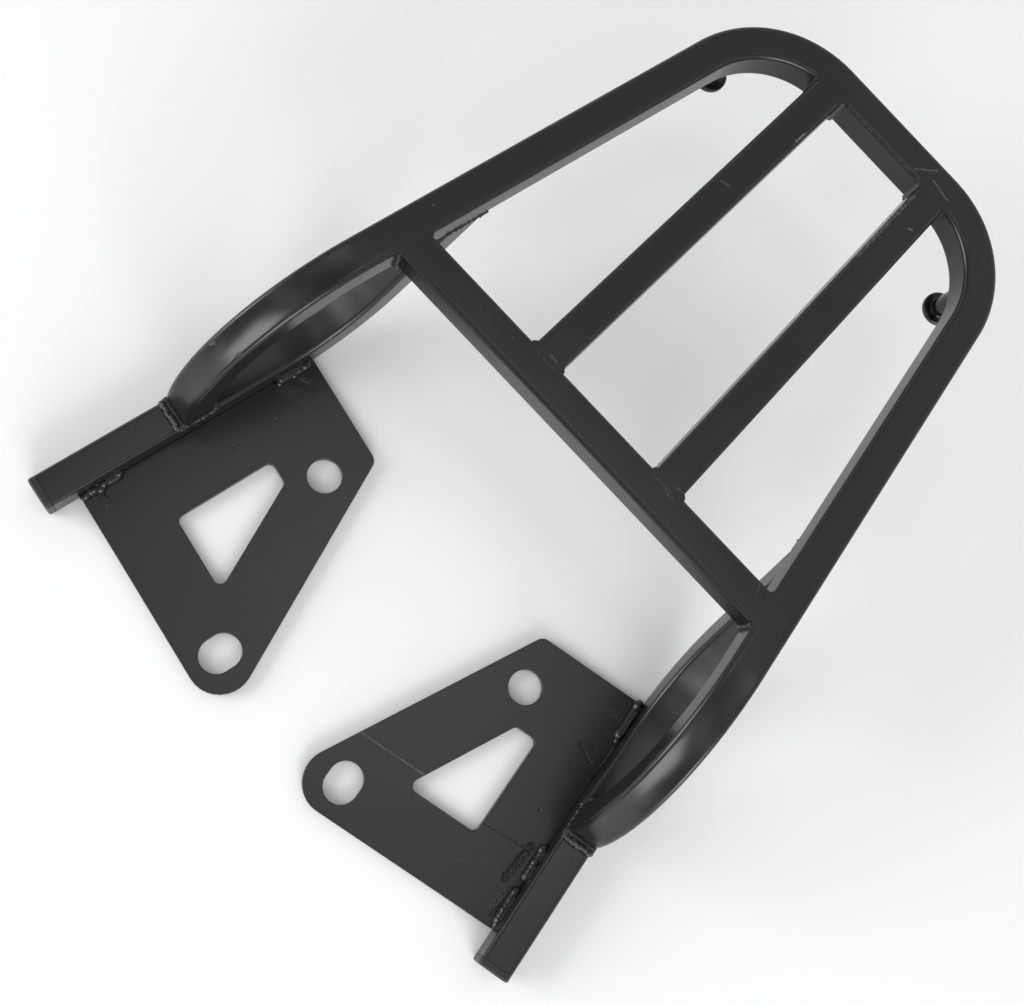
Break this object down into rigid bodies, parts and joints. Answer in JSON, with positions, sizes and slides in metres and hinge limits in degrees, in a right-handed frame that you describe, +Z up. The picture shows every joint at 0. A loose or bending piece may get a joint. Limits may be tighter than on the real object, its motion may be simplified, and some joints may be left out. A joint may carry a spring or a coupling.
{
  "type": "motorcycle luggage rack",
  "caption": "Black rear luggage rack welded from square tube: a hoop with a cross bar and long bars, lower rails, triangular mounting plates, strap pegs and end caps.",
  "frame": {"origin": "midway between the two round bolt holes, on the underside of the mounting plates", "axes": "+Z up, +Y towards the front of the motorcycle, +X to the rider's right"},
  "size_m": [0.3044, 0.3988, 0.098],
  "materials": {
    "tube_paint": "semi-gloss black powder coat",
    "plate_paint": "satin black powder coat",
    "weld_paint": "semi-gloss black powder coat over rippled weld",
    "peg_paint": "gloss black paint",
    "cap_plastic": "matt black plastic"
  },
  "bodies": {
    "root": {"hoop_tube": "tube_paint", "cross_bar": "tube_paint", "long_bar_right": "tube_paint", "long_bar_left": "tube_paint", "lower_rail_right": "tube_paint", "lower_rail_left": "tube_paint", "mount_plate_right": "plate_paint", "mount_plate_left": "plate_paint", "strap_peg_right": "peg_paint", "strap_peg_left": "peg_paint", "end_cap_right": "cap_plastic", "end_cap_left": "cap_plastic", "weld_hoop_foot_right": "weld_paint", "weld_hoop_foot_left": "weld_paint", "weld_rail_top_right": "weld_paint", "weld_rail_top_left": "weld_paint", "weld_cross_bar_right": "weld_paint", "weld_cross_bar_left": "weld_paint", "weld_bar_rear_right": "weld_paint", "weld_bar_rear_left": "weld_paint", "weld_bar_front_right": "weld_paint", "weld_bar_front_left": "weld_paint", "weld_plate_right": "weld_paint", "weld_plate_left": "weld_paint", "weld_strap_peg_right": "weld_paint", "weld_strap_peg_left": "weld_paint"}
  },
  "joints": []
}
